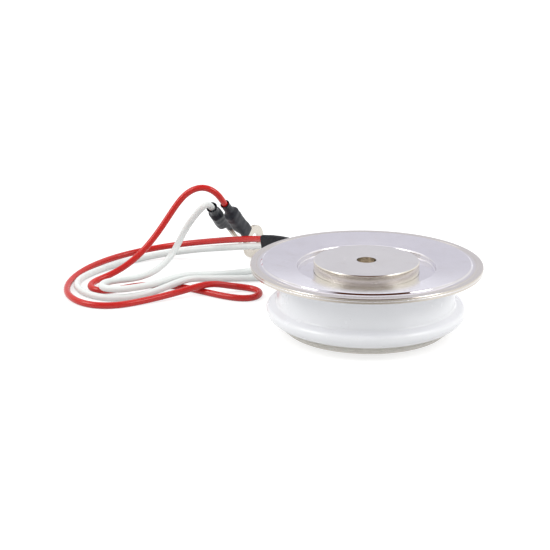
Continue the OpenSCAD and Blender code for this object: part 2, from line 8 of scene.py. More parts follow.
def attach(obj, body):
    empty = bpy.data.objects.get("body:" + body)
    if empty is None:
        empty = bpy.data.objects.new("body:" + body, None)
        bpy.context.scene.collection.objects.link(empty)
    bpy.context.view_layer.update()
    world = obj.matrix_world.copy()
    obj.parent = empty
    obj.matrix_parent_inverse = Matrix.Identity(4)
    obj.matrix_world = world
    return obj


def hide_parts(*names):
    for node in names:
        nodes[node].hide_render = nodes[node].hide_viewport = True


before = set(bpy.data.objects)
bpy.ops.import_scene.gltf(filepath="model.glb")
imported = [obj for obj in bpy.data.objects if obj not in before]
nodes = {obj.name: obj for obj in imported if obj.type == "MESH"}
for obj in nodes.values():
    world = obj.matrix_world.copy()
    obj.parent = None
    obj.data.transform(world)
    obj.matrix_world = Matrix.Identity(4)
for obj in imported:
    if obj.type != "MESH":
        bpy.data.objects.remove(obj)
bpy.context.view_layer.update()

# Lengths are in millimetres unless a comment says otherwise, and MM turns them into metres
MM = 0.001


def add_object(name, data):
    """A new object in the scene."""
    piece = bpy.data.objects.new(name, data)
    bpy.context.scene.collection.objects.link(piece)
    return piece


def turn_angles(count):
    """The angles of a full turn in that many steps."""
    return [2 * math.pi * k / count for k in range(count)]


# Camera, fitted to the photograph: its place is in metres

TILT = math.radians(17.77)
TARGET = Vector((-0.01647, 0.03229, 0.0))
DISTANCE = 0.3
NEAREST, FARTHEST = 0.01, 20.0
FOCAL_PIXELS = 1473.0
PICTURE_PIXELS = 550.0
SENSOR = 36.0

camera_data = bpy.data.cameras.new("camera")
camera_data.sensor_width = SENSOR
camera_data.lens = FOCAL_PIXELS / PICTURE_PIXELS * SENSOR
camera_data.clip_start, camera_data.clip_end = NEAREST, FARTHEST
camera = add_object("camera", camera_data)
camera.location = TARGET + DISTANCE * Vector((0, -math.cos(TILT), math.sin(TILT)))
camera.rotation_euler = (math.pi / 2 - TILT, 0, 0)
bpy.context.scene.camera = camera

# Leads, along the same routes as the solids: the two lengths are in metres

RED_DIAMETER, WHITE_DIAMETER = 1.3, 1.35
RED_ROUTE = [
    (-10.4, 16.6, 10.7), (-15, 24, 10.1), (-19.3, 30.9, 8.15), (-25.6, 37.8, 5.9), (-31.6, 42.6, 4),
    (-38, 46, 2.3), (-44, 46.2, 1.2), (-50.2, 42.6, 0.7), (-55.2, 35.2, 0.65), (-57.9, 26, 0.65),
    (-57.2, 17.4, 0.65), (-52.6, 11.4, 0.65), (-46.8, 10.8, 0.65), (-41.6, 14, 0.65), (-35, 17.9, 1.1),
    (-29.4, 19.7, 2.5), (-25.9, 21.2, 1.4), (-22.9, 22, 0.8), (-20.3, 21.3, 0.65), (-19.1, 18.7, 0.65),
    (-20.2, 16, 0.65), (-23, 15.2, 0.65), (-27.4, 17.3, 0.65), (-34.5, 22.8, 0.65), (-40, 24.2, 0.65),
    (-44.4, 23.2, 0.65), (-48, 20.5, 0.65), (-51.1, 19.9, 0.65), (-53.3, 22.4, 0.7), (-52.5, 25.7, 0.9),
    (-49.4, 27.8, 1.4), (-45, 30.1, 3.6), (-41.2, 32.4, 7.3), (-37.8, 33.6, 12.2), (-34.8, 34.3, 16.7),
    (-31.1, 33.8, 18.4), (-28.3, 34, 17),
]
WHITE_ROUTE = [
    (-10.4, 16.6, 9.28), (-15, 24, 8.7), (-19.3, 30.9, 6.75), (-25.6, 37.2, 4.4), (-32, 41.8, 2.7),
    (-38.6, 43.8, 1.3), (-44.6, 41.8, 0.7), (-50.8, 36, 0.7), (-55.6, 29, 0.7), (-56.1, 23, 0.7),
    (-53.3, 17.8, 0.7), (-48.8, 15.2, 0.7), (-44.6, 15.9, 0.7), (-39.8, 18.7, 0.8), (-33.8, 22.7, 2.6),
    (-30, 25.6, 1.3), (-18.4, 28.2, 0.7), (-14.4, 28.8, 0.7), (-13.1, 31.6, 0.7), (-14.6, 34.4, 0.7),
    (-18.4, 34.6, 0.7), (-24, 31.4, 0.7), (-30.4, 27.8, 1.4), (-34.8, 24.8, 2.6), (-39.8, 20, 2.05),
    (-44.2, 16.9, 2.25), (-46.9, 15.7, 2.35), (-50.1, 16.9, 2.3), (-50.4, 20.5, 2.15), (-47.4, 22.6, 2.1),
    (-44.2, 23.1, 2.2), (-41.6, 25.2, 2.4), (-39.6, 29.4, 2.4), (-37, 33.6, 4.2), (-35.2, 36, 8.2),
    (-32.8, 36.4, 11.5), (-30.7, 38.2, 13.5),
]

# The mouth of each terminal's sleeve, and its bearing, downward tilt and roll in degrees
RED_MOUTH, RED_AIM = (-26.67, 35.48, 14.12), (62, 44.5, 274)
WHITE_MOUTH, WHITE_AIM = (-29.62, 42.22, 11.62), (75.5, 36.5, 224)

# How far a lead runs straight on each side of that mouth, and the barrel that it ends in
STRAIGHT = 1.0
BARREL_SETBACK, BARREL_LENGTH = 3.6, 4.8
SHARE_OF_BARREL = 0.6
LEAD_IN_BARREL = BARREL_SETBACK + SHARE_OF_BARREL * BARREL_LENGTH

CUBIC = 4
LEAD_ROUNDNESS, LEAD_FINENESS = 8, 10


def aimed(mouth, aim):
    """Turns a terminal drawn along +X from its sleeve's mouth into its place."""
    bearing, tilt, roll = (math.radians(a) for a in aim)
    return (Matrix.Translation(Vector(mouth)) @ Matrix.Rotation(bearing, 4, "Z")
            @ Matrix.Rotation(tilt, 4, "Y") @ Matrix.Rotation(roll, 4, "X"))


def with_end(route, mouth, aim):
    """The route and its straight end in the terminal."""
    place = aimed(mouth, aim)
    return route + [tuple(place @ Vector((x, 0, 0))) for x in (-STRAIGHT, STRAIGHT, LEAD_IN_BARREL)]


def stand_for(piece, node):
    """Shows the piece in a solid's place."""
    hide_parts(node)
    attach(piece, "root")
    return piece


def lead(name, points, diameter, node):
    """A round lead along the cubic curve of its control points."""
    curve = bpy.data.curves.new(name, "CURVE")
    curve.dimensions = "3D"
    curve.bevel_depth = 1.0
    curve.bevel_resolution = LEAD_ROUNDNESS
    curve.use_fill_caps = True
    line = curve.splines.new("NURBS")
    line.points.add(len(points) - 1)
    for at, (x, y, z) in zip(line.points, points):
        at.co = (x * MM, y * MM, z * MM, 1)
        at.radius = diameter * MM / 2
    line.order_u = CUBIC
    line.use_endpoint_u = True
    line.resolution_u = LEAD_FINENESS
    return stand_for(add_object(name, curve), node)


red_lead = lead("red_lead", with_end(RED_ROUTE, RED_MOUTH, RED_AIM), RED_DIAMETER, "cathode_lead")
white_lead = lead("white_lead", with_end(WHITE_ROUTE, WHITE_MOUTH, WHITE_AIM), WHITE_DIAMETER,
                  "gate_lead")

# Rings of points and the meshes made of them

AROUND = 56
LIP = 0.1
QUARTER_TURN = [math.pi / 2 * j / 4 for j in range(5)]


def blend_between(x, marks):
    """The row of numbers at x, eased between the rows of marks."""
    for (x0, first), (x1, second) in zip(marks, marks[1:]):
        if x <= x1:
            t = max(0.0, (x - x0) / (x1 - x0))
            t = t * t * (3 - 2 * t)
            return [a + (b - a) * t for a, b in zip(first, second)]
    return list(marks[-1][1])


def rounded(wide, high, power):
    """A rounded outline between an ellipse, power 2, and a box with round corners."""
    ring = []
    for a in turn_angles(AROUND):
        c, d = math.cos(a), math.sin(a)
        ring.append((wide / 2 * math.copysign(abs(c) ** (2 / power), c),
                     high / 2 * math.copysign(abs(d) ** (2 / power), d)))
    return ring


def closed_skin(name, rings):
    """A smooth closed skin through a loop of rings, the last of which joins the first."""
    mesh = bpy.data.meshes.new(name)
    shape = bmesh.new()
    rows = [[shape.verts.new(Vector(q) * MM) for q in ring] for ring in rings]
    for row, after in zip(rows, rows[1:] + rows[:1]):
        for k in range(len(row)):
            n = (k + 1) % len(row)
            shape.faces.new((row[k], row[n], after[n], after[k]))
    bmesh.ops.recalc_face_normals(shape, faces=shape.faces)
    for face in shape.faces:
        face.smooth = True
    shape.to_mesh(mesh)
    shape.free()
    return add_object(name, mesh)


# Sleeves on the terminals: gaps, walls and the terminal inside are those of the solids

WIRE_GAP, WALL = 0.08, 0.25
CRIMP_GAP, BARREL_WALL, BARREL_SPREAD = 0.05, 0.35, 0.4
NECK_LENGTH = 1.3
TONGUE_WIDE, TONGUE_THICK = 2.4, 0.7
SLEEVE_END = 11.42
SLEEVE_STEPS = 72
CREASE, CREASES_ROUND, CREASES_ALONG, CREASE_TWIST = 0.012, 3, 3.1, 1.7
LEAST_R = 0.4
# The shown wall is thinner than the solid's, because its outside is drawn in
SHOWN_WALL = WALL - 0.06


def terminal_sleeve(name, lead_d, mouth, aim, node, seed, flare=0.0):
    """Narrow on the lead, drawn in over the barrel, flat on the tongue, with soft creases."""
    place = aimed(mouth, aim)
    room = 2 * (WIRE_GAP + WALL)
    barrel = lead_d + 2 * CRIMP_GAP + 2 * BARREL_WALL
    sheet = (TONGUE_THICK - barrel) / 2
    narrow = lead_d + room
    wide, high = barrel + BARREL_SPREAD + room, barrel + room
    flat_wide, flat_high = TONGUE_WIDE + room, TONGUE_THICK + room
    barrel_end = BARREL_SETBACK + BARREL_LENGTH
    # Along the sleeve: its width and height, the power of its outline and the height of its middle
    marks = [
        (0.0, (narrow + 0.02 + flare, narrow + 0.02 + flare, 2.0, 0)),
        (0.5 + 2 * flare, (narrow - 0.16 + flare / 3, narrow - 0.16 + flare / 3, 2.0, 0)),
        (BARREL_SETBACK - 1.1, (narrow - 0.12, narrow - 0.12, 2.05, 0)),
        (BARREL_SETBACK + 0.1, (wide - 0.06, high - 0.06, 3.0, 0)),
        (BARREL_SETBACK + 1.0, (wide - 0.12, high - 0.14, 3.2, 0)),
        (BARREL_SETBACK + 1.7, (wide - 0.02, high - 0.1, 3.2, 0)),
        (BARREL_SETBACK + 3.0, (wide - 0.1, high - 0.16, 3.1, 0)),
        (barrel_end, (wide - 0.04, high - 0.06, 3.0, 0)),
        (barrel_end + NECK_LENGTH, (flat_wide - 0.03, flat_high - 0.03, 3.4, sheet)),
        (SLEEVE_END, (flat_wide - 0.02, flat_high - 0.02, 3.4, sheet)),
    ]

    def ring(x, shrink):
        width, height, power, z = blend_between(x, marks)
        points = []
        section = rounded(width - 2 * shrink, height - 2 * shrink, power)
        for a, (u, v) in zip(turn_angles(AROUND), section):
            crease = (CREASE * math.sin(CREASES_ALONG * x + seed)
                      * math.sin(CREASES_ROUND * a + CREASE_TWIST * x + seed))
            r = 1 + crease / max(LEAST_R, math.hypot(u, v))
            points.append(place @ Vector((x, -u * r, z + v * r)))
        return points

    shares = [i / SLEEVE_STEPS for i in range(SLEEVE_STEPS + 1)]
    rings = [ring(LIP * (1 - math.cos(a)), LIP * (1 - math.sin(a))) for a in QUARTER_TURN[:4]]
    rings += [ring(LIP + (SLEEVE_END - 2 * LIP) * s, 0) for s in shares]
    rings += [ring(SLEEVE_END - LIP * (1 - math.sin(a)), LIP * (1 - math.cos(a))) for a in QUARTER_TURN[1:]]
    rings += [ring(SLEEVE_END - SLEEVE_END * s, SHOWN_WALL) for s in shares]
    return stand_for(closed_skin(name, rings), node)


red_sleeve = terminal_sleeve("red_terminal_sleeve", RED_DIAMETER, RED_MOUTH, RED_AIM,
                             "cathode_terminal_sleeve", 0.4)
white_sleeve = terminal_sleeve("white_terminal_sleeve", WHITE_DIAMETER, WHITE_MOUTH, WHITE_AIM,
                               "gate_terminal_sleeve", 2.2, 0.3)

# Exit sleeve over both leads: EXIT_END is a place along the curve midway between them, EXIT_LENGTH is
# the sleeve's length

EXIT_WALL, EXIT_GAP, EXIT_INSET = 0.12, 0.03, 0.02
EXIT_END, EXIT_LENGTH = 0.92, 14.5
EXIT_POINTS, EXIT_STEPS = 8, 60
A_LITTLE_ON = 0.01
WAIST_DEPTH, WAIST_SPREAD, WAIST_FADE = 0.1, 0.35, 6
LOBE_RISE = 2.2
RIPPLE, RIPPLES_ROUND, RIPPLE_TWIST, RIPPLES_ALONG, RIPPLE_PHASE = 0.015, 2, 9, 17, 0.7


def on_curve(points, u):
    """The point at u on the clamped cubic B-spline that Blender draws through a lead's control points."""
    last = len(points) - 3
    knots = [0] * 3 + list(range(last + 1)) + [last] * 3
    span = min(int(u), last - 1) + 3
    near = [Vector(points[span - 3 + k]) for k in range(4)]
    for level in range(1, 4):
        for k in range(3, level - 1, -1):
            low, high = knots[span - 3 + k], knots[span + 1 + k - level]
            near[k] = near[k - 1].lerp(near[k], (u - low) / (high - low))
    return near[3]


def exit_sleeve(name, node):
    """The sleeve over both leads: two half circles that draw in a little between the leads."""
    middle = [(Vector(a) + Vector(b)) / 2
              for a, b in zip(RED_ROUTE[:EXIT_POINTS], WHITE_ROUTE[:EXIT_POINTS])]
    apart = RED_ROUTE[1][2] - WHITE_ROUTE[1][2]
    outer = WHITE_DIAMETER + 2 * (EXIT_GAP + EXIT_WALL)

    def ring(t, shrink):
        at = on_curve(middle, t * EXIT_END)
        along = (on_curve(middle, t * EXIT_END + A_LITTLE_ON) - at).normalized()
        side = along.cross(Vector((0, 0, 1))).normalized()
        rise = side.cross(along)
        half = outer / 2 - shrink
        points = []
        for a in turn_angles(AROUND):
            v = math.sin(a)
            waist = 1 - WAIST_DEPTH * math.exp(-(v / WAIST_SPREAD) ** 2) * min(1, WAIST_FADE * t)
            ripple = (RIPPLE * math.sin(RIPPLE_TWIST * t + RIPPLES_ROUND * a + RIPPLE_PHASE)
                      * math.sin(RIPPLES_ALONG * t))
            u = (half * waist + ripple) * math.cos(a)
            w = (half + ripple) * v + math.copysign(apart / 2, v) * min(1, abs(v) * LOBE_RISE)
            points.append(at + side * u + rise * w)
        return points

    lip = LIP / EXIT_LENGTH
    shares = [i / EXIT_STEPS for i in range(EXIT_STEPS + 1)]
    rings = [ring(s * (1 - lip), EXIT_INSET) for s in shares]
    rings += [ring(1 - lip * (1 - math.sin(a)), EXIT_INSET + LIP * (1 - math.cos(a)))
              for a in QUARTER_TURN[1:]]
    rings += [ring(1 - s, EXIT_WALL - EXIT_INSET) for s in shares]
    return stand_for(closed_skin(name, rings), node)


exit_piece = exit_sleeve("exit_sleeve", "lead_exit_sleeve")

# Ceramic, with a finer outside than its solid: radii are from the axis, Z from the lower contact face

BORE_R, NECK_R, FOOT_R = 13.2, 16.15, 15.2
CERAMIC_BOTTOM, CERAMIC_TOP, CORNER = 1.05, 10.89, 0.35
SKIRT_R, SKIRT_Z, SKIRT_ROUND, SKIRT_ANGLE = 18.05, 4.35, 2.0, 88
BAND_R, BAND_Z, BAND_TOP, GROOVE = 15.86, 1.62, 2.34, 0.1
BAND_CORNER, BAND_LIFT, BAND_ANGLE = 0.1, 0.05, 303
UNDER_SKIRT = 0.04
SHOULDER_ROUND, SHOULDER_ANGLE = 0.75, 75
HOLLOW_ROUND, HOLLOW_Z = 0.5, 5.818
LONG_EDGE, HELD = 0.6, 0.12
TURNS, ARC_STEPS = 180, 10
TUBE_Z, TUBE_HOLE_R = 9.28, 0.75
TUBE_HOLE_START, TUBE_HOLE_END, TUBE_HOLE_SIDES = 10, 20, 40


def arc(r, z, radius, start, end):
    """Points of an arc round (r, z), from one angle to another in degrees."""
    return [(r + radius * math.cos(math.radians(a)), z + radius * math.sin(math.radians(a)))
            for a in (start + (end - start) * k / ARC_STEPS for k in range(ARC_STEPS + 1))]


def held_edges(profile):
    """The profile with two points more in each long edge, near its ends, which keep it flat when shaded."""
    held = []
    for (r0, z0), (r1, z1) in zip(profile, profile[1:] + profile[:1]):
        held.append((r0, z0))
        apart = math.hypot(r1 - r0, z1 - z0)
        if apart > LONG_EDGE:
            held += [(r0 + (r1 - r0) * t, z0 + (z1 - z0) * t) for t in (HELD / apart, 1 - HELD / apart)]
    return held


def insulator(name):
    """The glazed ring: straight neck, tight hollow, shoulder, rounded skirt, and a grooved foot band."""
    c = CORNER
    middle = (BAND_Z + BAND_TOP) / 2
    foot = arc(FOOT_R - c, CERAMIC_BOTTOM + c, c, 270, BAND_ANGLE)
    band = (arc(BAND_R - BAND_CORNER, BAND_Z + BAND_LIFT, BAND_CORNER, BAND_ANGLE, 360)
            + [(BAND_R, middle - GROOVE), (BAND_R - GROOVE, middle), (BAND_R, middle + GROOVE)]
            + [(BAND_R, BAND_TOP - UNDER_SKIRT)])
    skirt = arc(SKIRT_R - SKIRT_ROUND, SKIRT_Z, SKIRT_ROUND, -SKIRT_ANGLE, 0)
    shoulder = arc(SKIRT_R - SHOULDER_ROUND, SKIRT_Z, SHOULDER_ROUND, 0, SHOULDER_ANGLE)[1:]
    hollow = arc(NECK_R + HOLLOW_ROUND, HOLLOW_Z, HOLLOW_ROUND, 180 + SHOULDER_ANGLE, 180)
    top = (arc(NECK_R - c, CERAMIC_TOP - c, c, 0, 90)
           + arc(BORE_R + c, CERAMIC_TOP - c, c, 90, 180))
    bore_foot = arc(BORE_R + c, CERAMIC_BOTTOM + c, c, 180, 270)
    profile = held_edges(foot + band + skirt + shoulder + hollow + top + bore_foot)
    rings = [[(r * math.cos(a), r * math.sin(a), z) for r, z in profile] for a in turn_angles(TURNS)]
    return stand_for(closed_skin(name, rings), "ceramic_housing")


def drill(piece, radius, bearing, start, end, z):
    """Cuts a level round hole outwards from the axis, between two distances from it."""
    mesh = bpy.data.meshes.new("drill")
    shape = bmesh.new()
    turn = Matrix.Rotation(bearing, 4, "Z") @ Matrix.Rotation(math.pi / 2, 4, "Y")
    centre = turn @ Vector((0, 0, (start + end) / 2 * MM)) + Vector((0, 0, z * MM))
    bmesh.ops.create_cone(shape, cap_ends=True, segments=TUBE_HOLE_SIDES, radius1=radius * MM,
                          radius2=radius * MM, depth=(end - start) * MM,
                          matrix=Matrix.Translation(centre) @ turn)
    shape.to_mesh(mesh)
    shape.free()
    cutter = add_object("drill", mesh)
    cut = piece.modifiers.new("hole", "BOOLEAN")
    cut.object, cut.operation, cut.solver = cutter, "DIFFERENCE", "EXACT"
    bpy.context.view_layer.update()
    piece.data = bpy.data.meshes.new_from_object(piece.evaluated_get(bpy.context.evaluated_depsgraph_get()))
    piece.modifiers.clear()
    bpy.data.objects.remove(cutter)


ceramic_body = insulator("ceramic_body")
drill(ceramic_body, TUBE_HOLE_R, math.atan2(RED_ROUTE[0][1], RED_ROUTE[0][0]),
      TUBE_HOLE_START, TUBE_HOLE_END, TUBE_Z)

# Weld bead

SEAM_Z = 12.32
RIM_R = 20.95
BEAD_R, BEAD_PROUD = 0.1, 0.04
BEAD_TURNS, BEAD_SIDES = 480, 12
SEAM_RIPPLE, SEAM_RIPPLES = 0.008, 120
SEAM_DRIFT, SEAM_DRIFTS, SEAM_PHASE = 0.006, 7, 1.3


def weld_bead(name):
    """The bright seam between the two rim sheets: a thin rolled bead with the ripple of a seam weld."""
    centre = RIM_R - BEAD_R + BEAD_PROUD - (SEAM_RIPPLE + SEAM_DRIFT)
    loops = []
    for a in turn_angles(BEAD_TURNS):
        thick = (BEAD_R + SEAM_RIPPLE * math.sin(SEAM_RIPPLES * a)
                 + SEAM_DRIFT * math.sin(SEAM_DRIFTS * a + SEAM_PHASE))
        section = [(centre + thick * math.cos(b), SEAM_Z + thick * math.sin(b))
                   for b in turn_angles(BEAD_SIDES)]
        loops.append([(r * math.cos(a), r * math.sin(a), z) for r, z in section])
    piece = closed_skin(name, loops)
    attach(piece, "root")
    return piece


bead = weld_bead("rim_weld_bead")

# Building blocks of the materials


def material(name):
    """A new material, its node tree and its main shader."""
    made = bpy.data.materials.new(name)
    made.use_nodes = True
    tree = made.node_tree
    return made, tree, tree.nodes["Principled BSDF"]


def feed(tree, socket, value):
    """Links a socket to the input, or sets the input to a plain value."""
    if isinstance(value, bpy.types.NodeSocket):
        tree.links.new(value, socket)
    else:
        socket.default_value = value


def linked(tree, kind, **inputs):
    """A new node with its inputs set, where a name's underscores stand for spaces."""
    node = tree.nodes.new(kind)
    for key, value in inputs.items():
        feed(tree, node.inputs[key.replace("_", " ")], value)
    return node


def calculated(tree, operation, *values):
    """The result of one sum."""
    node = tree.nodes.new("ShaderNodeMath")
    node.operation = operation
    for socket, value in zip(node.inputs, values):
        feed(tree, socket, value)
    return node.outputs[0]


def split(tree, output="Object"):
    """The three parts of a texture coordinate: of the place in the object, unless another is named."""
    coordinates = tree.nodes.new("ShaderNodeTexCoord").outputs[output]
    return linked(tree, "ShaderNodeSeparateXYZ", Vector=coordinates).outputs


def from_axis(tree, parts):
    """The distance from the capsule's axis."""
    squares = [calculated(tree, "POWER", parts[k], 2.0) for k in "XY"]
    return calculated(tree, "SQRT", calculated(tree, "ADD", *squares))


def spots(tree, scale, detail=4.0, rough=0.55):
    """Cloudy noise, with about that many spots in a metre."""
    coordinates = tree.nodes.new("ShaderNodeTexCoord").outputs["Object"]
    return linked(tree, "ShaderNodeTexNoise", Vector=coordinates, Scale=scale, Detail=detail,
                  Roughness=rough).outputs["Fac"]


def turning_marks(tree, scale, detail=3.0):
    """Noise that changes only with the distance from the capsule's axis and with height."""
    parts = split(tree)
    node = tree.nodes.new("ShaderNodeTexNoise")
    node.noise_dimensions = "1D"
    feed(tree, node.inputs["W"], calculated(tree, "ADD", from_axis(tree, parts), parts["Z"]))
    feed(tree, node.inputs["Scale"], scale)
    feed(tree, node.inputs["Detail"], detail)
    return node.outputs["Fac"]


def ramp(tree, value, low, high, start=0.3, end=0.7, easing="LINEAR"):
    """Low up to start, high past end. Start may be the larger of the two."""
    node = tree.nodes.new("ShaderNodeMapRange")
    node.interpolation_type = easing
    for key, number in (("Value", value), ("From Min", start), ("From Max", end), ("To Min", low),
                        ("To Max", high)):
        feed(tree, node.inputs[key], number)
    return node.outputs["Result"]


def between(tree, value, low, high, marks):
    """A ramp between two marks in millimetres."""
    start, end = (mark * MM for mark in marks)
    return ramp(tree, value, low, high, start, end)


def two_tone(tree, value, first, second):
    """The first colour where the value is 0 and the second where it is 1."""
    node = tree.nodes.new("ShaderNodeMix")
    node.data_type = "RGBA"
    for key, colour in (("A", first), ("B", second)):
        socket = next(i for i in node.inputs if i.name == key and i.type == "RGBA")
        feed(tree, socket, colour if isinstance(colour, bpy.types.NodeSocket) else (*colour, 1))
    feed(tree, node.inputs["Factor"], value)
    return next(o for o in node.outputs if o.type == "RGBA")


def mottled(tree, scale, first, second, detail=4.0):
    """Two colours in soft spots."""
    return two_tone(tree, ramp(tree, spots(tree, scale, detail), 0, 1), first, second)


def mixed(tree, factor, first, second):
    """The first shader where the factor is 0 and the second where it is 1."""
    node = tree.nodes.new("ShaderNodeMixShader")
    for socket, value in zip(node.inputs, (factor, first, second)):
        feed(tree, socket, value)
    return node.outputs[0]


def bump(tree, shader, *layers):
    """Heights on top of each other: pairs of a height and its depth in millimetres."""
    normal = None
    for height, depth in layers:
        node = linked(tree, "ShaderNodeBump", Height=height, Strength=1.0, Distance=depth * MM)
        if normal:
            feed(tree, node.inputs["Normal"], normal)
        normal = node.outputs["Normal"]
    feed(tree, shader.inputs["Normal"], normal)


# Materials: the radii of their bands are in millimetres from the capsule's axis

STAIN = (0.78, 0.72, 0.66)
HEAT_BAND, HEATED = (19.0, 19.7), (0.73, 0.7, 0.68)
CUT_EDGE, CUT = (20.89, 20.93), (0.6, 0.56, 0.51)
CREST_R, CREST_HALF, BURNISHED = 18.9, (0.35, 0.6), 0.5
POLE_SIDE, WARM = (9.42, 9.5), (0.84, 0.8, 0.7)
DRILLED, DULL = (1.72, 1.82), (0.78, 0.7, 0.57)
METALLISED = (0.72, 0.695, 0.64), (0.64, 0.62, 0.565)
BAND_EDGE = (BAND_TOP, BAND_TOP + 0.05)
SPECK = (0.52, 0.5, 0.46)
GLAZE, GLAZE_ROUGH = 0.35, 0.07


def plated(name, base, other, rough, turned=0.0006, haze=0.0, welded=False, drilled=False):
    """Plated or turned metal: cloudy tone, turning marks round the axis, fine scratches, faint haze.
    Where it is welded, the band round the rim has a warm tint, the sheets' cut edges are darker and the
    shoulder is burnished. Where it is drilled, the turned side is warmer and the centring hole is dull."""
    made, tree, shader = material(name)
    tone = mottled(tree, 140, base, other)
    stain = ramp(tree, spots(tree, 420, detail=6, rough=0.65), 0, haze, start=0.52, end=0.72)
    tone = two_tone(tree, stain, tone, tuple(c * f for c, f in zip(base, STAIN)))
    if welded or drilled:
        across = from_axis(tree, split(tree))
    if welded:
        tone = two_tone(tree, between(tree, across, 0, 1, HEAT_BAND), tone, HEATED)
        tone = two_tone(tree, between(tree, across, 0, 1, CUT_EDGE), tone, CUT)
    if drilled:
        tone = two_tone(tree, between(tree, across, 0, 1, POLE_SIDE), tone, WARM)
        tone = two_tone(tree, between(tree, across, 1, 0, DRILLED), tone, DULL)
    feed(tree, shader.inputs["Base Color"], tone)
    uneven = calculated(tree, "MULTIPLY", ramp(tree, turning_marks(tree, 1600), 0.86, 1.14),
                        ramp(tree, spots(tree, 500), 0.9, 1.12))
    if welded:
        crest = calculated(tree, "ABSOLUTE", calculated(tree, "SUBTRACT", across, CREST_R * MM))
        uneven = calculated(tree, "MULTIPLY", uneven, between(tree, crest, BURNISHED, 1, CREST_HALF))
    feed(tree, shader.inputs["Roughness"], calculated(tree, "MULTIPLY", uneven, rough))
    feed(tree, shader.inputs["Metallic"], 1.0)
    bump(tree, shader, (turning_marks(tree, 9000, detail=2), turned), (spots(tree, 230, detail=2), 0.004))
    return made


def glazed(name, base, other):
    """Fired white glaze: clear coat over a faintly cloudy body, a slow waviness and a few fine specks.
    The band at the foot is metallised for brazing, so it is grey and has no glaze."""
    made, tree, shader = material(name)
    bare = between(tree, split(tree)["Z"], 1, 0, BAND_EDGE)
    tone = two_tone(tree, bare, mottled(tree, 160, base, other), mottled(tree, 900, *METALLISED, detail=5))
    speck = ramp(tree, spots(tree, 3600, detail=1), 0, 0.5, start=0.74, end=0.8)
    feed(tree, shader.inputs["Base Color"], two_tone(tree, speck, tone, SPECK))
    feed(tree, shader.inputs["Roughness"], ramp(tree, spots(tree, 300), 0.22, 0.28))
    coat = calculated(tree, "SUBTRACT", GLAZE, calculated(tree, "MULTIPLY", bare, GLAZE))
    feed(tree, shader.inputs["Coat Weight"], coat)
    feed(tree, shader.inputs["Coat Roughness"], GLAZE_ROUGH)
    bump(tree, shader, (spots(tree, 160, detail=2), 0.003), (spots(tree, 1500, detail=2), 0.0004))
    return made


def insulation(name, base, other, dusty, rough):
    """Extruded insulation: draw lines' fine unevenness, soft sheen, a little dust and handling."""
    made, tree, shader = material(name)
    dust = ramp(tree, spots(tree, 1100, detail=6, rough=0.7), 0, 0.45, start=0.56, end=0.75)
    feed(tree, shader.inputs["Base Color"], two_tone(tree, dust, mottled(tree, 90, base, other), dusty))
    feed(tree, shader.inputs["Roughness"], ramp(tree, spots(tree, 600), rough * 0.85, rough * 1.2))
    feed(tree, shader.inputs["Specular IOR Level"], 0.45)
    bump(tree, shader, (spots(tree, 520, detail=3), 0.012), (spots(tree, 2600, detail=2), 0.002))
    return made


def shrunk(name, base, other, shine=0.25):
    """Heat-shrunk sleeve: satin black with fine wrinkles and a grey bloom."""
    made, tree, shader = material(name)
    bloom = ramp(tree, spots(tree, 500, detail=6, rough=0.6), 0, 1, start=0.42, end=0.72)
    feed(tree, shader.inputs["Base Color"], two_tone(tree, bloom, base, other))
    feed(tree, shader.inputs["Roughness"], ramp(tree, spots(tree, 800), 0.34, 0.5))
    feed(tree, shader.inputs["Specular IOR Level"], shine)
    bump(tree, shader, (spots(tree, 640, detail=4), 0.03), (spots(tree, 3200, detail=2), 0.004))
    return made


def moulded(name, base, other, rough=0.45):
    """Moulded insulating plastic, matt and a little uneven."""
    made, tree, shader = material(name)
    feed(tree, shader.inputs["Base Color"], mottled(tree, 260, base, other))
    feed(tree, shader.inputs["Roughness"], ramp(tree, spots(tree, 900), rough * 0.85, rough * 1.15))
    bump(tree, shader, (spots(tree, 2200, detail=3), 0.004))
    return made


nickel = plated("nickel_plate", (0.79, 0.78, 0.82), (0.75, 0.74, 0.775), 0.22, haze=0.2)
rim = plated("nickel_plate_welded", (0.8, 0.79, 0.86), (0.76, 0.75, 0.815), 0.15, haze=0.2, welded=True)
pole = plated("nickel_plate_contact", (0.79, 0.78, 0.79), (0.75, 0.74, 0.75), 0.22, haze=0.2, drilled=True)
brazed = plated("nickel_plate_brazed", (0.52, 0.5, 0.47), (0.46, 0.44, 0.41), 0.26, haze=0.4)
silver = plated("silver", (0.88, 0.87, 0.84), (0.83, 0.82, 0.79), 0.2)
molybdenum = plated("molybdenum", (0.42, 0.43, 0.45), (0.36, 0.37, 0.39), 0.36, turned=0.001)
silicon = plated("silicon", (0.24, 0.26, 0.32), (0.2, 0.22, 0.28), 0.08, turned=0.0001)
spring = plated("spring_steel", (0.6, 0.6, 0.61), (0.54, 0.54, 0.55), 0.28)
tin = plated("tinned_terminal", (0.64, 0.6, 0.54), (0.56, 0.52, 0.46), 0.26, turned=0.0002, haze=0.5)
ceramic = glazed("glazed_ceramic", (0.87, 0.88, 0.9), (0.85, 0.86, 0.88))
ivory = moulded("insulator", (0.8, 0.76, 0.66), (0.76, 0.72, 0.62))
black = shrunk("black_sleeve", (0.009, 0.011, 0.017), (0.024, 0.027, 0.036))
blackest = shrunk("black_sleeve_thin", (0.003, 0.005, 0.009), (0.009, 0.011, 0.016), shine=0.15)
white = insulation("white_insulation", (0.77, 0.805, 0.79), (0.73, 0.765, 0.75), (0.64, 0.67, 0.65), 0.36)
red = insulation("red_insulation", (0.58, 0.014, 0.01), (0.5, 0.01, 0.008), (0.6, 0.035, 0.03), 0.2)

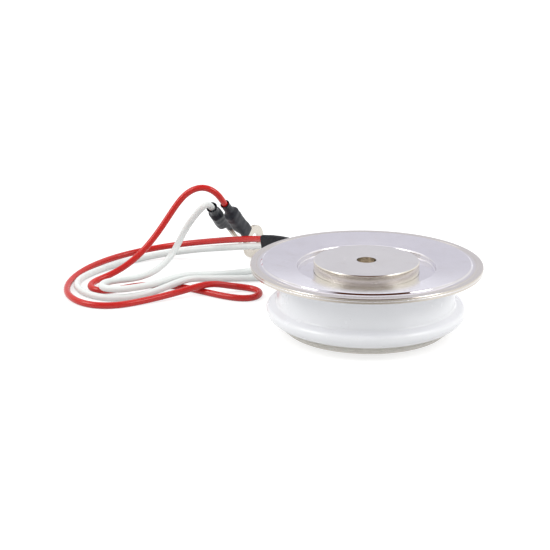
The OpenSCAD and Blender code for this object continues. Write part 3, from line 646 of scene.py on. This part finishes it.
NODE_LOOKS = {
    nickel: ["gate_tube", "aux_cathode_tab"],
    pole: ["anode_pole_piece", "cathode_pole_piece"],
    brazed: ["anode_flange", "gate_tube_ferrule"],
    rim: ["weld_ring", "cathode_flange"],
    silver: ["silver_shim", "gate_plunger", "gate_wire_inner"],
    molybdenum: ["anode_moly_disc", "cathode_moly_disc"],
    silicon: ["silicon_wafer"],
    spring: ["gate_spring"],
    tin: ["gate_ring_terminal", "cathode_ring_terminal"],
    ceramic: ["ceramic_housing"],
    ivory: ["edge_passivation_ring", "centering_ring", "gate_insulator", "gate_cap", "gate_wire_liner"],
    black: ["gate_terminal_sleeve", "cathode_terminal_sleeve"],
    blackest: ["lead_exit_sleeve"],
    white: ["gate_lead"],
    red: ["cathode_lead"],
}
for look, names in NODE_LOOKS.items():
    for name in names:
        slots = nodes[name].data.materials
        slots.clear()
        slots.append(look)

PIECE_LOOKS = {
    red_lead: red,
    white_lead: white,
    bead: nickel,
    ceramic_body: ceramic,
    red_sleeve: black,
    white_sleeve: black,
    exit_piece: blackest,
}
for piece, look in PIECE_LOOKS.items():
    piece.data.materials.append(look)

# Floor: a white table that keeps the shadow, shown and mirrored brighter than it lights the part.
# Its sizes and places are in metres.

FLOOR_SIZE = 12
TABLE = (0.62, 0.62, 0.62, 1)
SHOWN_MATT, SHOWN_GLOW = (0.45, 0.45, 0.45, 1), 0.68
# Painted shade: FRONT_FLOOR is where the floor in front turns, for mirrors only, into the darker glow of the
# photographer's shade
FRONT_FLOOR = (-0.065, -0.035)
PAINTED_SHADE_FLOOR = (0.31, 0.285, 0.25)
WHITE = (1, 1, 1, 1)


def floor_look():
    """The table's material. Upright metal at the front mirrors the floor on the photographer's side,
    and there the floor is painted shade for mirrors only: glossy rays see a darker emission in place of the
    white table."""
    made = bpy.data.materials.new("floor")
    made.use_nodes = True
    tree = made.node_tree
    tree.nodes.clear()
    path = tree.nodes.new("ShaderNodeLightPath").outputs
    matt = linked(tree, "ShaderNodeBsdfDiffuse", Color=SHOWN_MATT)
    glow = linked(tree, "ShaderNodeEmission", Color=WHITE, Strength=SHOWN_GLOW)
    shown = tree.nodes.new("ShaderNodeAddShader")
    feed(tree, shown.inputs[0], matt.outputs[0])
    feed(tree, shown.inputs[1], glow.outputs[0])
    table = linked(tree, "ShaderNodeBsdfDiffuse", Color=TABLE)
    seen = calculated(tree, "MAXIMUM", path["Is Camera Ray"], path["Is Glossy Ray"])
    surface = mixed(tree, seen, table.outputs[0], shown.outputs[0])
    at_front = ramp(tree, split(tree)["Y"], 1, 0, *FRONT_FLOOR)
    mirrored = calculated(tree, "MULTIPLY", path["Is Glossy Ray"], at_front)
    # Painted shade: a darker glow that only glossy rays see on the floor in front
    dull = linked(tree, "ShaderNodeEmission", Color=(*PAINTED_SHADE_FLOOR, 1), Strength=1.0)
    out = tree.nodes.new("ShaderNodeOutputMaterial")
    feed(tree, out.inputs[0], mixed(tree, mirrored, surface, dull.outputs[0]))
    return made


def floor_piece(name, size):
    mesh = bpy.data.meshes.new(name)
    shape = bmesh.new()
    bmesh.ops.create_grid(shape, x_segments=1, y_segments=1, size=size / 2)
    shape.to_mesh(mesh)
    shape.free()
    piece = add_object(name, mesh)
    return piece


floor = floor_piece("floor", FLOOR_SIZE)
floor.data.materials.append(floor_look())

# Room: a white one as a product studio has it, bright to the sides and high behind the part, duller where
# the photographer stands, and a brown board overhead, towards the camera, which the rim's slope mirrors.
# Each pair says where a zone starts and where it is full, as a share of a ray's way right, back or up.

WALL_BEHIND = (0.75, 0.735, 0.77)
FAR_FLOOR, FAR_FLOOR_UP = (0.97, 0.96, 1.0), (0.24, 0.06)
SIDES, SIDES_OUT = (1.0, 0.985, 0.92), (0.3, 0.75)
HIGH_BEHIND, HIGH_UP, HIGH_BACK = (1.45, 1.41, 1.34), (0.58, 0.64), (0.36, 0.46)
CAMERA_SIDE, CAMERA_BACK, CAMERA_UP = (0.45, 0.41, 0.35), (-0.35, -0.75), (0.6, 0.35)
BOARD, BOARD_UP, BOARD_BACK = (0.1, 0.035, 0.015), (0.72, 0.8), (0.04, -0.06)
BOARD_MIDDLE, BOARD_OUT = 0.09, (0.54, 0.4)
SOFT = (0.95, 0.96, 0.98)
SOFT_SIDES, SOFT_OUT = (1.12, 1.13, 1.15), (0.3, 0.8)
SOFT_CAMERA, SOFT_BACK, SOFT_UP = (0.55, 0.55, 0.55), (-0.3, -0.85), (0.7, 0.3)


def zone(tree, *edges):
    """1 inside all the edges and 0 outside, eased: pairs of a value and where its zone starts and is full."""
    eased = [ramp(tree, value, 0, 1, start, end, easing="SMOOTHSTEP") for value, (start, end) in edges]
    inside = eased[0]
    for edge in eased[1:]:
        inside = calculated(tree, "MULTIPLY", inside, edge)
    return inside


def studio():
    """The room as metal mirrors it, as it lights the part, and as the camera sees it."""
    world = bpy.data.worlds.new("studio")
    world.use_nodes = True
    tree = world.node_tree
    tree.nodes.clear()
    path = tree.nodes.new("ShaderNodeLightPath").outputs
    way = split(tree, "Generated")
    right, back, up = (way[k] for k in "XYZ")
    out_sideways = calculated(tree, "ABSOLUTE", right)
    off_board = calculated(tree, "ABSOLUTE", calculated(tree, "SUBTRACT", right, BOARD_MIDDLE))
    room = two_tone(tree, zone(tree, (up, FAR_FLOOR_UP)), WALL_BEHIND, FAR_FLOOR)
    room = two_tone(tree, zone(tree, (out_sideways, SIDES_OUT)), room, SIDES)
    room = two_tone(tree, zone(tree, (up, HIGH_UP), (back, HIGH_BACK)), room, HIGH_BEHIND)
    room = two_tone(tree, zone(tree, (back, CAMERA_BACK), (up, CAMERA_UP)), room, CAMERA_SIDE)
    overhead = zone(tree, (up, BOARD_UP), (back, BOARD_BACK), (off_board, BOARD_OUT))
    room = two_tone(tree, overhead, room, BOARD)
    soft = two_tone(tree, zone(tree, (out_sideways, SOFT_OUT)), SOFT, SOFT_SIDES)
    soft = two_tone(tree, zone(tree, (back, SOFT_BACK), (up, SOFT_UP)), soft, SOFT_CAMERA)
    mirrored, light, shown = (linked(tree, "ShaderNodeBackground", Color=colour, Strength=1.0).outputs[0]
                              for colour in (room, soft, WHITE))
    unseen = mixed(tree, path["Is Glossy Ray"], light, mirrored)
    out = tree.nodes.new("ShaderNodeOutputWorld")
    feed(tree, out.inputs[0], mixed(tree, path["Is Camera Ray"], unseen, shown))
    return world


bpy.context.scene.world = studio()

# Lamps: places and sizes are in metres, strengths in watts

LAMP_AIM = (-0.01, 0.02, 0)
LAMP_SIZE = 0.46
LAMP_TINT = (1, 0.985, 0.95)


def lamp(name, place, watts):
    data = bpy.data.lights.new(name, "AREA")
    data.shape = "DISK"
    data.size = LAMP_SIZE
    data.energy = watts
    data.color = LAMP_TINT
    piece = add_object(name, data)
    piece.location = place
    piece.rotation_euler = (Vector(place) - Vector(LAMP_AIM)).to_track_quat("Z", "Y").to_euler()


lamp("left", (-0.63, -0.12, 0.56), 2.1)
lamp("right", (0.57, -0.2, 0.56), 1.9)

# Finish: the plain view transform

bpy.context.scene.view_settings.view_transform = "Standard"
